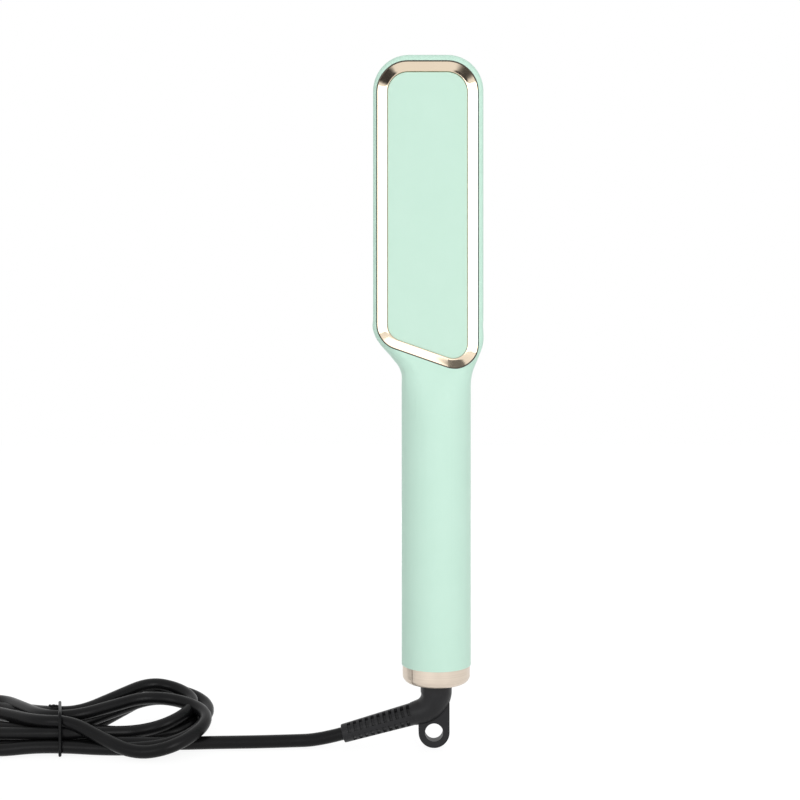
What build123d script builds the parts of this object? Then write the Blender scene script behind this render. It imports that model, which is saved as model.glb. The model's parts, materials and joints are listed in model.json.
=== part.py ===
from build123d import *
import math
import os

os.makedirs("parts", exist_ok=True)

# A hot comb: round handle, flat head with a comb on its front, and a swivelling mains cord.
# Millimetres. +Z runs up the handle, the origin is on the handle's axis in the middle of the grip.
# The back of the head faces -Y and the comb teeth point along +Y.

# ---------------------------------------------------------------- driving dimensions

# Housing
handle_radius = 15.0
handle_bottom = -58.0       # lower rim of the housing
neck_start = 50.0           # the round handle starts to change into the head here
neck_length = 40.0
head_length = 113.2
head_left = 27.2            # reach of the head to either side of the handle's axis
head_right = 19.75
head_back = 12.6            # reach of the head behind and in front of the handle's axis
head_front = 8.0
head_corner = 15.3
back_edge = 3.0
front_edge = 2.5
wall = 2.0
back_wall = 3.4
seam_lap = 1.0              # the front half is drawn this far past the seam, and cut off flat there
fit_gap = 0.1               # between pieces that are pressed or laid into each other
run_gap = 0.3               # between pieces that move past each other

# Trim ring and back panel
rim_left = 1.7              # housing left outside the ring
rim_right = 2.45
rim_top = 3.3
ring_band = 4.4
ring_top_band = 4.7
ring_low_band = 3.8
ring_slant = 19.3           # slope of the ring's lower side, degrees
ring_drop = 18.1            # how far that side passes below the head, on the handle's axis
ring_left_round = 11.0
ring_right_round = 10.0
recess_depth = 1.6
ring_rise = 0.8             # the ring's inner edge stands this far out of the head
ring_edge = 0.15            # and its outer edge this far inside
panel_sink = 0.5            # the back panel lies this far below the ring's inner edge

# Comb
comb_low_margin = 4.6       # from the neck to the comb's opening
comb_top_margin = 9.2
opening_half = 14.0
flange_reach = 3.5          # the bezel's flange covers the housing this far round the opening
flange_thickness = 1.8
window_half = 7.1           # half width of the bezel's window
bezel_depth = 3.3           # from the bezel's front to its back
skirt_depth = 1.9
skirt_wall = 1.2
row_offset = 10.5           # from the comb's middle to each row of teeth
rail_width = 4.0
rail_depth = 2.2
tooth_pitch = 4.2
tooth_root = 2.4            # thickness of a tooth along the comb
tooth_tip = 1.3
tooth_width = 3.4
tooth_height = 12.2
blade_thickness = 1.1
blade_width = 12.6
blade_height = 9.0
plate_flange = 1.5
slab_thickness = 2.0
slab_gap = 1.5
slab_width = 12.0
sheet_thickness = 0.4
clamp_thickness = 0.8

# Controls on the front of the handle
panel_depth = 2.4           # depth of the flat pocket, measured on the handle's front line
panel_thickness = 0.9
panel_half = 6.5
panel_low = -18.5
panel_high = 50.0
pad_thickness = 1.6         # housing behind the pocket
power_height = 15.0
plus_height = 3.0
minus_height = -8.5
power_radius = 4.1
level_radius = 3.7
button_travel = 0.5
button_proud = 0.8
button_flange = 1.1
plunger_reach = 1.1
plunger_radius = 1.6
switch_height = 3.5
switch_side = 6.0
led_low = 25.5
led_pitch = 4.0
led_count = 5
guide_radius = 1.0
board_thickness = 1.6
board_half = 9.0
board_low = -42.0
board_high = 49.0
board_post = 3.0

# Screws
screw_radius = 1.1
screw_head = 2.2
screw_head_height = 1.5

# Swivel
collar_height = 7.6
collar_inset = 0.4          # the collar is this much slimmer than the handle
collar_round = 3.0
collar_floor = 2.4
slit_angle = 46.4           # the collar's parting line, left of the back, degrees
slit_gap = 0.3
spigot_height = 8.0
spigot_wall = 1.9
hub_flange_radius = 10.0
hub_flange = 2.5
spindle_radius = 5.0
slip_ring_height = 2.6
slip_ring_depth = 0.5
brush_thickness = 0.5
brush_width = 2.6

# Cord outlet
neck_radius = 6.8
elbow_drop = 11.47          # the outlet's axis meets the swivel's axis this far below the collar
elbow_turn = 9.0            # radius of the elbow's middle line
outlet_slope = 15.7         # the outlet falls this much towards the floor, degrees
outlet_radius = 4.9
outlet_length = 10.5
relief_length = 31.6
relief_start_radius = 4.75
relief_end_radius = 3.95
relief_core = 3.3
relief_pitch = 2.66
relief_slot = 1.4
relief_sector = 34.0        # half the angle that a slot reaches round the strain relief, degrees
relief_lead = 0.7           # from the elbow to the first slot
relief_plain = 2.6          # smooth collar at the cord's end of the strain relief
socket_depth = 2.5
tab_radius = 6.7
tab_thickness = 4.9
tab_offset = -1.0
tab_drop = 21.7             # from the collar to the centre of the tab's hole
tab_hole = 3.9

# Cord, hank and plug
cord_radius = 2.75
hank_tie_x = -163.6
hank_half_length = 66.0
hank_rise = 22.0
waist_width = 23.0
waist_height = 16.5
tie_thickness = 1.0
tie_width = 2.4
plug_length = 36.0
plug_width = 34.0
plug_height = 13.7
pin_radius = 2.0
pin_length = 19.0
pin_spacing = 18.6
sleeve_radius = 1.75
sleeve_length = 10.0

# ---------------------------------------------------------------- sizes that follow

neck_end = neck_start + neck_length
head_top = neck_end + head_length
comb_x = (head_right - head_left) / 2
cavity_radius = handle_radius - wall

comb_low = neck_end + comb_low_margin
comb_high = head_top - comb_top_margin
comb_z = (comb_low + comb_high) / 2
opening_length = comb_high - comb_low
bezel_front = head_front + flange_thickness
bezel_back = bezel_front - bezel_depth
rail_length = opening_length - 2 * skirt_wall
tooth_count = int((rail_length - tooth_root) / tooth_pitch) + 1
plate_back = bezel_back - plate_flange
slab_back = plate_back - slab_thickness
sheet_back = slab_back - sheet_thickness
clamp_back = sheet_back - clamp_thickness
clamp_post = screw_radius + 1.4
window_length = rail_length - 4 * clamp_post - 2 * fit_gap
plate_length = window_length - 2 * fit_gap
slab_length = (plate_length - 2 * slab_gap - 4) / 3
post_height = plate_length / 2 + clamp_post + 2 * fit_gap

pocket_floor = handle_radius - panel_depth
pad_under = pocket_floor - pad_thickness
flange_top = pad_under - run_gap
flange_under = flange_top - button_flange
switch_top = flange_under - plunger_reach
board_front = switch_top - switch_height
board_back = board_front - board_thickness
panel_front = pocket_floor + panel_thickness

collar_bottom = handle_bottom - collar_height
hub_under = collar_bottom + collar_floor + run_gap
hub_top = hub_under + hub_flange
ledge = hub_top + run_gap
spigot_top = handle_bottom + spigot_height
spigot_radius = cavity_radius - fit_gap
block_radius = spigot_radius - spigot_wall - fit_gap
spindle_top = spigot_top + 1.0

slope = math.radians(outlet_slope)
outlet_direction = Vector(-math.cos(slope), 0, -math.sin(slope))
outlet_up = Vector(-math.sin(slope), 0, math.cos(slope))
outlet_start = Vector(0, 0, collar_bottom - elbow_drop)
elbow_top = outlet_start.Z + elbow_turn * math.tan(math.radians(90 - outlet_slope) / 2)
relief_start = outlet_start + outlet_direction * outlet_length
relief_end = relief_start + outlet_direction * relief_length
tab_z = collar_bottom - tab_drop
floor = tab_z - tab_radius
cord_z = floor + cord_radius


# ---------------------------------------------------------------- shared shapes

def ease(z, start, end, low, high):
    """Smooth change from low to high while z goes from one share of the neck to another."""
    share = (z - neck_start) / neck_length
    step = min(max((share - start) / (end - start), 0), 1)
    return low + (high - low) * step * step * (3 - 2 * step)


def bow(start, middle, end):
    """Arc through three points, or the straight line that they lie on."""
    turn = (middle[0] - start[0]) * (end[1] - start[1]) - (middle[1] - start[1]) * (end[0] - start[0])
    if abs(turn) < 1e-6:
        Line(start, end)
    else:
        ThreePointArc(start, middle, end)


def half_outline(z, side, inset, face_inset):
    """Outline of one half of the housing at height z: side is -1 at the back and 1 at the front.

    Along the neck each point moves from its place on the handle's circle to its place on the head's outline.
    """
    radius = handle_radius - inset
    right = head_right - inset
    left = head_left - inset
    face = (head_front if side > 0 else head_back) - face_inset
    corner = max((front_edge if side > 0 else back_edge) - inset, 0.8)
    turn = corner * (1 - math.sqrt(0.5))
    lap = seam_lap if side > 0 else 0
    low = -math.degrees(math.asin(lap / radius))
    angles = (low, 12.5, 25, 45, 65, 90, 115, 135, 155, 167.5, 180 - low)
    head_points = [(right, -lap), (right, (face - corner) / 2), (right, face - corner), (right - turn, face - turn),
                   (right - corner, face), ((right - left) / 2, face), (corner - left, face),
                   (turn - left, face - turn), (-left, face - corner), (-left, (face - corner) / 2), (-left, -lap)]
    depth = ease(z, 0.15, 0.90, 0, 1) if side > 0 else ease(z, 0.0, 0.50, 0, 1)
    points = []
    for angle, (head_x, head_y) in zip(angles, head_points):
        across = ease(z, 0.35, 0.80, 0, 1) if angle < 90 else ease(z, 0.425, 0.925, 0, 1)
        x = radius * math.cos(math.radians(angle))
        y = radius * math.sin(math.radians(angle))
        points.append((x + (head_x - x) * across, side * (y + (head_y - y) * depth)))
    for first in range(0, 10, 2):
        bow(*points[first:first + 3])
    Line(points[-1], points[0])


def head_half(side, inset, face_inset):
    """The head above the neck, one half of it, with its long edges rounded."""
    reach = (head_front if side > 0 else head_back) - face_inset
    edge = max((front_edge if side > 0 else back_edge) - inset, 0.8)
    lap = seam_lap if side > 0 else 0
    with BuildPart() as half:
        with BuildSketch(Plane.XZ.offset(lap)) as outline:
            with BuildLine():
                Polyline((inset - head_left, neck_end), (head_right - inset, neck_end),
                         (head_right - inset, head_top - inset), (inset - head_left, head_top - inset), close=True)
            make_face()
            fillet(outline.vertices().group_by(Axis.Y)[-1], head_corner - inset)
        extrude(amount=-side * (reach + lap))
        rim = half.edges().group_by(Axis.Y)[-1 if side > 0 else 0]
        fillet([edge_line for edge_line in rim if edge_line.center().Z > neck_end + 0.01], edge)
    return half.part


def housing_half(side, inset, face_inset, bottom):
    """Handle, neck and head, one half, with every wall moved in by inset and its broad face by face_inset."""
    head = head_half(side, inset, face_inset)
    levels = [neck_start - 4] + [neck_start + neck_length * share / 9 for share in range(10)]
    with BuildPart() as half:
        with BuildSketch(Plane.XY.offset(bottom)):
            Circle(handle_radius - inset)
            with Locations((0, -seam_lap if side > 0 else 0)):
                Rectangle(4 * handle_radius, 2 * handle_radius,
                          align=(Align.CENTER, Align.MAX if side < 0 else Align.MIN), mode=Mode.INTERSECT)
        extrude(amount=levels[0] - bottom)
        for level in levels:
            with BuildSketch(Plane.XY.offset(level)):
                with BuildLine():
                    half_outline(level, side, inset, face_inset)
                make_face()
        loft()
        add(head)
    return half.part


def ring_outline(side_in, top_in, low_in):
    """Corner points of the ring's outline, moved in from its outer edge, in the plane of the head's back."""
    fall = math.tan(math.radians(ring_slant))
    low_line = neck_end - ring_drop + low_in / math.cos(math.radians(ring_slant))
    left = rim_left - head_left + side_in
    right = head_right - rim_right - side_in
    top = head_top - rim_top - top_in
    return [(left, low_line - fall * left), (right, low_line - fall * right), (right, top), (left, top)]


def ring_line(side_in, top_in, low_in):
    """The ring's outline, with its corners rounded by what is left of each radius."""
    points = ring_outline(side_in, top_in, low_in)
    top_round = head_corner - rim_left - 0.4
    rounds = [ring_left_round - low_in, ring_right_round - low_in, top_round - side_in, top_round - side_in]
    FilletPolyline(*points, radius=rounds, close=True)


def bend_radii(points):
    """Radius at each corner of a cord's route: 0.45 of the shorter run over the tangent of half the turn."""
    corners = zip(points, points[1:], points[2:])
    radii = []
    for before, corner, after in corners:
        arriving = corner - before
        leaving = after - corner
        turn = math.radians(arriving.get_angle(leaving))
        radii.append(0.45 * min(arriving.length, leaving.length) / math.tan(turn / 2))
    return radii


def report_tube(name, tube, path, radii):
    """Print a cord's radii and compare its volume with its section times its length."""
    expected = math.pi * cord_radius ** 2 * path.length
    print(name, "length", round(path.length, 1), "radii", [round(radius, 1) for radius in radii],
          "volume ratio", round(tube.volume / expected, 5))


def save(builder, name):
    builder.part.label = name
    export_step(builder.part, "parts/" + name + ".step")


screw_well_x = row_offset + rail_width / 2 + 4.9
well_places = [(comb_x + side * screw_well_x, comb_z + lift * opening_length * 0.41)
               for side in (-1, 1) for lift in (-1, 1)]
well_radius = screw_head + 1.0
well_seat = 1.5             # the screws' heads rest this far behind the seam
post_places = [(0, board_low + 7.0), (0, board_high - 3.5)]

# ---------------------------------------------------------------- housing

back_outer = housing_half(-1, 0, 0, handle_bottom)
back_cavity = housing_half(-1, wall, back_wall, handle_bottom - 1)
with BuildPart() as back_supports:
    # posts under the circuit board, and wells for the case screws
    with BuildSketch(Plane.XZ.offset(-board_back)):
        with Locations(*post_places):
            Circle(board_post)
    extrude(amount=board_back + handle_radius - wall / 2)
    with BuildSketch(Plane.XZ):
        with Locations(*well_places):
            Circle(well_radius)
    extrude(amount=head_back - back_wall / 2)

with BuildPart() as back_cuts:
    # recess for the trim ring and the back panel
    with BuildSketch(Plane.XZ.offset(head_back - recess_depth)):
        with BuildLine():
            ring_line(-fit_gap, -fit_gap, -fit_gap)
        make_face()
    extrude(amount=recess_depth + handle_radius)
    with BuildSketch(Plane.XZ.offset(-board_back)):
        with Locations(*post_places):
            Circle(screw_radius + fit_gap)
    extrude(amount=10)
    with BuildSketch(Plane.XZ):
        with Locations(*well_places):
            Circle(screw_radius + 2 * fit_gap)
    extrude(amount=head_back)
    with BuildSketch(Plane.XZ.offset(well_seat)):
        with Locations(*well_places):
            Circle(screw_head + 2 * fit_gap)
    extrude(amount=head_back)
    # groove for the collar's bead
    with BuildSketch(Plane.XY.offset(spigot_top - 4.6)):
        Circle(cavity_radius + 0.5)
    extrude(amount=1.6)

with BuildPart() as back_shell:
    add(back_outer)
    add(back_cavity, mode=Mode.SUBTRACT)
    add(back_supports.part)
    add(back_cuts.part, mode=Mode.SUBTRACT)
save(back_shell, "back_shell")

front_outer = housing_half(1, 0, 0, handle_bottom)
front_cavity = housing_half(1, wall, wall, handle_bottom - 1)
panel_length = panel_high - panel_low
panel_z = (panel_high + panel_low) / 2
led_places = [(0, led_low + led_pitch * place) for place in range(led_count)]
with BuildPart() as front_supports:
    # pad behind the control panel, kept inside the handle's wall
    with BuildSketch(Plane.XZ.offset(-pad_under)):
        with Locations((0, panel_z)):
            SlotOverall(panel_length + 3, 2 * panel_half + 3, rotation=90)
    extrude(amount=-(pad_thickness + panel_thickness / 2))
    # bosses for the case screws
    with BuildSketch(Plane.XZ):
        with Locations(*well_places):
            Circle(well_radius)
    extrude(amount=wall / 2 - head_front)

with BuildPart() as front_cuts:
    # flat pocket for the control panel, with holes for the keys and the light guide
    with BuildSketch(Plane.XZ.offset(-pocket_floor)):
        with Locations((0, panel_z)):
            SlotOverall(panel_length + 2 * fit_gap, 2 * (panel_half + fit_gap), rotation=90)
    extrude(amount=-handle_radius)
    with BuildSketch(Plane.XZ.offset(-pad_under + 1)):
        with Locations((0, power_height)):
            Circle(power_radius + run_gap)
        with Locations((0, plus_height), (0, minus_height)):
            Circle(level_radius + run_gap)
        with Locations(*led_places):
            Circle(guide_radius + fit_gap)
    extrude(amount=-handle_radius)
    # opening for the comb
    with BuildSketch(Plane.XZ.offset(1 - head_front + wall)):
        with Locations((comb_x, comb_z)):
            RectangleRounded(2 * opening_half, opening_length, 5)
    extrude(amount=-handle_radius)
    with BuildSketch(Plane.XZ):
        with Locations(*well_places):
            Circle(screw_radius + fit_gap / 2)
    extrude(amount=-(head_front - wall - 1))
    # the seam is flat
    with BuildSketch(Plane.XZ):
        with Locations((0, head_top / 2)):
            Rectangle(4 * head_left, 2 * head_top)
    extrude(amount=2 * seam_lap)
    with BuildSketch(Plane.XY.offset(spigot_top - 4.6)):
        Circle(cavity_radius + 0.5)
    extrude(amount=1.6)

with BuildPart() as front_shell:
    add(front_outer)
    add(front_cavity, mode=Mode.SUBTRACT)
    add(front_supports.part)
    add(front_cuts.part, mode=Mode.SUBTRACT)
save(front_shell, "front_shell")

# ---------------------------------------------------------------- trim ring and back panel

recess_floor = head_back - recess_depth
with BuildPart() as ring_trim:
    with BuildSketch(Plane.XZ.offset(recess_floor)):
        with BuildLine():
            ring_line(0, 0, 0)
        make_face()
    extrude(amount=recess_depth - ring_edge)
    # the band slopes outward, from its inner edge down to its outer one
    with BuildSketch(Plane.XZ.offset(head_back - ring_edge)):
        with BuildLine():
            ring_line(0, 0, 0)
        make_face()
    with BuildSketch(Plane.XZ.offset(head_back + ring_rise)):
        with BuildLine():
            ring_line(ring_band - 0.4, ring_top_band - 0.4, ring_low_band - 0.4)
        make_face()
    loft()
    with BuildSketch(Plane.XZ.offset(recess_floor)):
        with BuildLine():
            ring_line(ring_band, ring_top_band, ring_low_band)
        make_face()
    extrude(amount=handle_radius, mode=Mode.SUBTRACT)
save(ring_trim, "ring_trim")

panel_face = recess_depth + ring_rise - panel_sink
with BuildPart() as back_panel:
    with BuildSketch(Plane.XZ.offset(recess_floor)):
        with BuildLine():
            ring_line(ring_band + fit_gap, ring_top_band + fit_gap, ring_low_band + fit_gap)
        make_face()
    extrude(amount=panel_face)
    fillet(back_panel.faces().sort_by(Axis.Y)[0].edges(), 0.3)
save(back_panel, "back_panel")

# ---------------------------------------------------------------- comb

with BuildPart() as case_screws:
    with BuildSketch(Plane.XZ.offset(well_seat)):
        with Locations(*well_places):
            Circle(screw_head)
    extrude(amount=screw_head_height)
    with BuildSketch(Plane.XZ.offset(well_seat)):
        with Locations(*well_places):
            Circle(screw_radius)
    extrude(amount=-(head_front - wall - 1.5 + well_seat))
save(case_screws, "case_screws")

post_spots = [(comb_x, comb_z - post_height), (comb_x, comb_z + post_height)]
hook_spots = [(comb_x + side * opening_half, comb_z + lift * opening_length * 0.25)
              for side in (-1, 1) for lift in (-1, 1)]
skirt_half = opening_half - fit_gap
with BuildPart() as comb_frame:
    with BuildSketch(Plane.XZ.offset(-head_front)):
        with Locations((comb_x, comb_z)):
            RectangleRounded(2 * (opening_half + flange_reach), opening_length + 2 * flange_reach, 8)
    extrude(amount=-flange_thickness)
    fillet(comb_frame.faces().sort_by(Axis.Y)[-1].edges(), 0.8)
    with BuildSketch(Plane.XZ.offset(-bezel_back)):
        with Locations((comb_x, comb_z)):
            RectangleRounded(2 * skirt_half, opening_length - 2 * fit_gap, 5)
    extrude(amount=bezel_back - head_front)
    with BuildSketch(Plane.XZ.offset(-bezel_back)):
        with Locations((comb_x, comb_z)):
            RectangleRounded(2 * skirt_half, opening_length - 2 * fit_gap, 5)
            RectangleRounded(2 * (skirt_half - skirt_wall), opening_length - 2 * (fit_gap + skirt_wall), 4,
                             mode=Mode.SUBTRACT)
    extrude(amount=skirt_depth)
    # snap hooks behind the edge of the opening
    with BuildSketch(Plane.XZ.offset(skirt_depth - bezel_back)):
        with Locations(*hook_spots):
            Rectangle(1.6, 10)
    extrude(amount=-(head_front - wall - run_gap - bezel_back + skirt_depth))
    # posts for the clamp plate
    with BuildSketch(Plane.XZ.offset(-sheet_back)):
        with Locations(*post_spots):
            Circle(clamp_post)
    extrude(amount=sheet_back - bezel_back)
    # window for the heater, channels for the tooth rails
    with BuildSketch(Plane.XZ.offset(1 - bezel_back)):
        with Locations((comb_x, comb_z)):
            RectangleRounded(2 * window_half, window_length, 2)
    extrude(amount=-handle_radius, mode=Mode.SUBTRACT)
    with BuildSketch(Plane.XZ.offset(rail_depth - bezel_front)):
        with Locations((comb_x - row_offset, comb_z), (comb_x + row_offset, comb_z)):
            RectangleRounded(rail_width, rail_length, 1.5)
    extrude(amount=-handle_radius, mode=Mode.SUBTRACT)
    with BuildSketch(Plane.XZ.offset(-sheet_back)):
        with Locations(*post_spots):
            Circle(screw_radius + fit_gap / 2)
    extrude(amount=sheet_back - bezel_back - 1, mode=Mode.SUBTRACT)
save(comb_frame, "comb_frame")


def tooth_row(middle):
    """One outer row: a rail with tapered teeth that end in round tips."""
    rail_front = bezel_front
    tip_y = rail_front + tooth_height
    first = comb_z - tooth_pitch * (tooth_count - 1) / 2
    with BuildPart() as row:
        # side view of all the teeth, then narrowed to the row's width with a rounded crest
        for number in range(tooth_count):
            z = first + tooth_pitch * number
            with BuildSketch(Plane.YZ.offset(middle - tooth_width / 2)):
                with BuildLine():
                    low = (rail_front - rail_depth / 2, z - tooth_root / 2)
                    high = (rail_front - rail_depth / 2, z + tooth_root / 2)
                    shoulder = tip_y - tooth_tip / 2
                    Polyline((shoulder, z + tooth_tip / 2), high, low, (shoulder, z - tooth_tip / 2))
                    ThreePointArc((shoulder, z - tooth_tip / 2), (tip_y, z), (shoulder, z + tooth_tip / 2))
                make_face()
            extrude(amount=tooth_width)
        with BuildSketch(Plane.XY.offset(first - tooth_root)):
            with BuildLine():
                half = tooth_width / 2
                crest = tip_y - half
                Polyline((middle + half * 0.75, crest), (middle + half, rail_front),
                         (middle + half, rail_front - rail_depth), (middle - half, rail_front - rail_depth),
                         (middle - half, rail_front), (middle - half * 0.75, crest))
                ThreePointArc((middle - half * 0.75, crest), (middle, tip_y), (middle + half * 0.75, crest))
            make_face()
        extrude(amount=tooth_pitch * tooth_count + tooth_root, mode=Mode.INTERSECT)
        with BuildSketch(Plane.XZ.offset(rail_depth - rail_front)):
            with Locations((middle, comb_z)):
                RectangleRounded(rail_width - fit_gap, rail_length - fit_gap, 1.4)
        extrude(amount=-rail_depth)
    return row


left_teeth = tooth_row(comb_x - row_offset)
save(left_teeth, "left_teeth")
right_teeth = tooth_row(comb_x + row_offset)
save(right_teeth, "right_teeth")

blade_count = int((plate_length - blade_thickness - 2) / tooth_pitch) + 1
blade_foot = head_front + 0.3
with BuildPart() as heater_plate:
    with BuildSketch(Plane.XZ.offset(-plate_back)):
        with Locations((comb_x, comb_z)):
            RectangleRounded(2 * (window_half + 1.3), plate_length, 1)
    extrude(amount=-plate_flange)
    with BuildSketch(Plane.XZ.offset(-bezel_back)):
        with Locations((comb_x, comb_z)):
            RectangleRounded(2 * (window_half - fit_gap), plate_length, 1.8)
    extrude(amount=bezel_back - blade_foot)
    first_blade = comb_z - tooth_pitch * (blade_count - 1) / 2
    for number in range(blade_count):
        with BuildSketch(Plane.XY.offset(first_blade + tooth_pitch * number - blade_thickness / 2)):
            with BuildLine():
                half = blade_width / 2
                top = blade_foot + blade_height
                Polyline((comb_x - half + 2, top), (comb_x + half - 2, top))
                RadiusArc((comb_x + half - 2, top), (comb_x + half, top - 2), 2)
                Polyline((comb_x + half, top - 2), (comb_x + half, blade_foot), (comb_x - half, blade_foot),
                         (comb_x - half, top - 2))
                RadiusArc((comb_x - half, top - 2), (comb_x - half + 2, top), 2)
            make_face()
        extrude(amount=blade_thickness)
save(heater_plate, "heater_plate")

slab_spots = [(comb_x, comb_z + place * (slab_length + slab_gap)) for place in (-1, 0, 1)]
with BuildPart() as heater_slabs:
    with BuildSketch(Plane.XZ.offset(-slab_back)):
        with Locations(*slab_spots):
            Rectangle(slab_width, slab_length)
    extrude(amount=-slab_thickness)
save(heater_slabs, "heater_slabs")

with BuildPart() as insulation_sheet:
    with BuildSketch(Plane.XZ.offset(-sheet_back)):
        with Locations((comb_x, comb_z)):
            Rectangle(slab_width + 2, plate_length - 2)
    extrude(amount=-sheet_thickness)
save(insulation_sheet, "insulation_sheet")

with BuildPart() as clamp_plate:
    with BuildSketch(Plane.XZ.offset(-clamp_back)):
        with Locations((comb_x, comb_z)):
            RectangleRounded(slab_width + 3, 2 * (post_height + clamp_post), 2)
        with Locations(*post_spots):
            Circle(screw_radius + fit_gap, mode=Mode.SUBTRACT)
    extrude(amount=-clamp_thickness)
save(clamp_plate, "clamp_plate")

with BuildPart() as clamp_screws:
    with BuildSketch(Plane.XZ.offset(-clamp_back)):
        with Locations(*post_spots):
            Circle(screw_head)
    extrude(amount=screw_head_height)
    with BuildSketch(Plane.XZ.offset(-clamp_back)):
        with Locations(*post_spots):
            Circle(screw_radius)
    extrude(amount=clamp_back - bezel_back + 1.5)
save(clamp_screws, "clamp_screws")

fuse_radius = 1.9
fuse_length = 11.0
with BuildPart() as thermal_fuse:
    with BuildSketch(Plane.XY.offset(comb_z - fuse_length / 2)):
        with Locations((comb_x, clamp_back - fuse_radius - fit_gap)):
            Circle(fuse_radius)
    extrude(amount=fuse_length)
save(thermal_fuse, "thermal_fuse")

with BuildPart() as thermistor:
    with BuildSketch(Plane.XY.offset(comb_z - 30)):
        with Locations((comb_x + 4, clamp_back - 1 - fit_gap)):
            Circle(1.0)
    extrude(amount=5)
save(thermistor, "thermistor")

# ---------------------------------------------------------------- controls

with BuildPart() as control_panel:
    with BuildSketch(Plane.XZ.offset(-pocket_floor)):
        with Locations((0, panel_z)):
            SlotOverall(panel_length, 2 * panel_half, rotation=90)
        with Locations((0, power_height)):
            Circle(power_radius + run_gap, mode=Mode.SUBTRACT)
        with Locations((0, plus_height), (0, minus_height)):
            Circle(level_radius + run_gap, mode=Mode.SUBTRACT)
        with Locations(*led_places):
            Circle(guide_radius + fit_gap, mode=Mode.SUBTRACT)
    extrude(amount=-panel_thickness)
save(control_panel, "control_panel")


def button(height, radius):
    """A round key that stands out of the panel, with the flange that keeps it in."""
    cap_top = panel_front + button_proud
    with BuildPart() as key:
        with BuildSketch(Plane.XZ.offset(-flange_under)):
            with Locations((0, height)):
                Circle(radius + 1.0)
        extrude(amount=-button_flange)
        with BuildSketch(Plane.XZ.offset(-flange_top)):
            with Locations((0, height)):
                Circle(radius)
        extrude(amount=flange_top - cap_top)
        fillet(key.faces().sort_by(Axis.Y)[-1].edges(), 0.4)
    return key


def plunger(height):
    """The moving stem of the switch under a key."""
    with BuildPart() as stem:
        with BuildSketch(Plane.XZ.offset(-flange_under)):
            with Locations((0, height)):
                Circle(plunger_radius)
        extrude(amount=plunger_reach + 1.3)
    return stem


power_button = button(power_height, power_radius)
save(power_button, "power_button")
power_plunger = plunger(power_height)
save(power_plunger, "power_plunger")
plus_button = button(plus_height, level_radius)
save(plus_button, "plus_button")
plus_plunger = plunger(plus_height)
save(plus_plunger, "plus_plunger")
minus_button = button(minus_height, level_radius)
save(minus_button, "minus_button")
minus_plunger = plunger(minus_height)
save(minus_plunger, "minus_plunger")

switch_spots = [(0, power_height), (0, plus_height), (0, minus_height)]
with BuildPart() as tact_switches:
    with BuildSketch(Plane.XZ.offset(-board_front)):
        with Locations(*switch_spots):
            Rectangle(switch_side, switch_side)
    extrude(amount=-switch_height)
    with BuildSketch(Plane.XZ.offset(-switch_top)):
        with Locations(*switch_spots):
            Circle(plunger_radius + run_gap)
    extrude(amount=1.3 + button_travel + run_gap, mode=Mode.SUBTRACT)
save(tact_switches, "tact_switches")

led_height = 1.0
with BuildPart() as indicator_leds:
    with BuildSketch(Plane.XZ.offset(-board_front)):
        with Locations(*led_places):
            Rectangle(1.2, 2.0)
    extrude(amount=-led_height)
save(indicator_leds, "indicator_leds")

guide_bar = 2.6
with BuildPart() as light_guide:
    with BuildSketch(Plane.XZ.offset(-board_front - led_height - run_gap)):
        with Locations((0, led_low + led_pitch * (led_count - 1) / 2)):
            Rectangle(guide_bar, led_pitch * (led_count - 1) + guide_bar)
    extrude(amount=board_front + led_height + run_gap - pad_under)
    with BuildSketch(Plane.XZ.offset(-pad_under)):
        with Locations(*led_places):
            Circle(guide_radius)
    extrude(amount=pad_under - panel_front)
save(light_guide, "light_guide")

with BuildPart() as circuit_board:
    with BuildSketch(Plane.XZ.offset(-board_back)):
        with Locations((0, (board_low + board_high) / 2)):
            Rectangle(2 * board_half, board_high - board_low)
        with Locations(*post_places):
            Circle(screw_radius + fit_gap, mode=Mode.SUBTRACT)
    extrude(amount=-board_thickness)
save(circuit_board, "circuit_board")

with BuildPart() as board_screws:
    with BuildSketch(Plane.XZ.offset(-board_front)):
        with Locations(*post_places):
            Circle(screw_head)
    extrude(amount=-screw_head_height)
    with BuildSketch(Plane.XZ.offset(-board_front)):
        with Locations(*post_places):
            Circle(screw_radius)
    extrude(amount=board_thickness + 8)
save(board_screws, "board_screws")

with BuildPart() as film_capacitor:
    with BuildSketch(Plane.XZ.offset(-board_back)):
        with Locations((0, board_low + 20)):
            Rectangle(13, 8)
    extrude(amount=6)
    fillet(film_capacitor.edges().filter_by(Axis.Y), 0.6)
save(film_capacitor, "film_capacitor")

with BuildPart() as triac:
    with BuildSketch(Plane.XZ.offset(-board_back)):
        with Locations((0, board_low + 42)):
            Rectangle(10, 15.5)
    extrude(amount=1.3)
    with BuildSketch(Plane.XZ.offset(1.3 - board_back)):
        with Locations((0, board_low + 39)):
            Rectangle(10, 9.2)
    extrude(amount=3.2)
save(triac, "triac")

with BuildPart() as control_chip:
    with BuildSketch(Plane.XZ.offset(-board_front)):
        with Locations((0, minus_height - 14)):
            Rectangle(4.4, 8.7)
    extrude(amount=-1.5)
save(control_chip, "control_chip")

# ---------------------------------------------------------------- end collar and swivel

collar_radius = handle_radius - collar_inset
hub_bore = neck_radius + run_gap
slit = math.radians(slit_angle)
slit_side = Vector(math.cos(slit), -math.sin(slit), 0)


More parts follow.
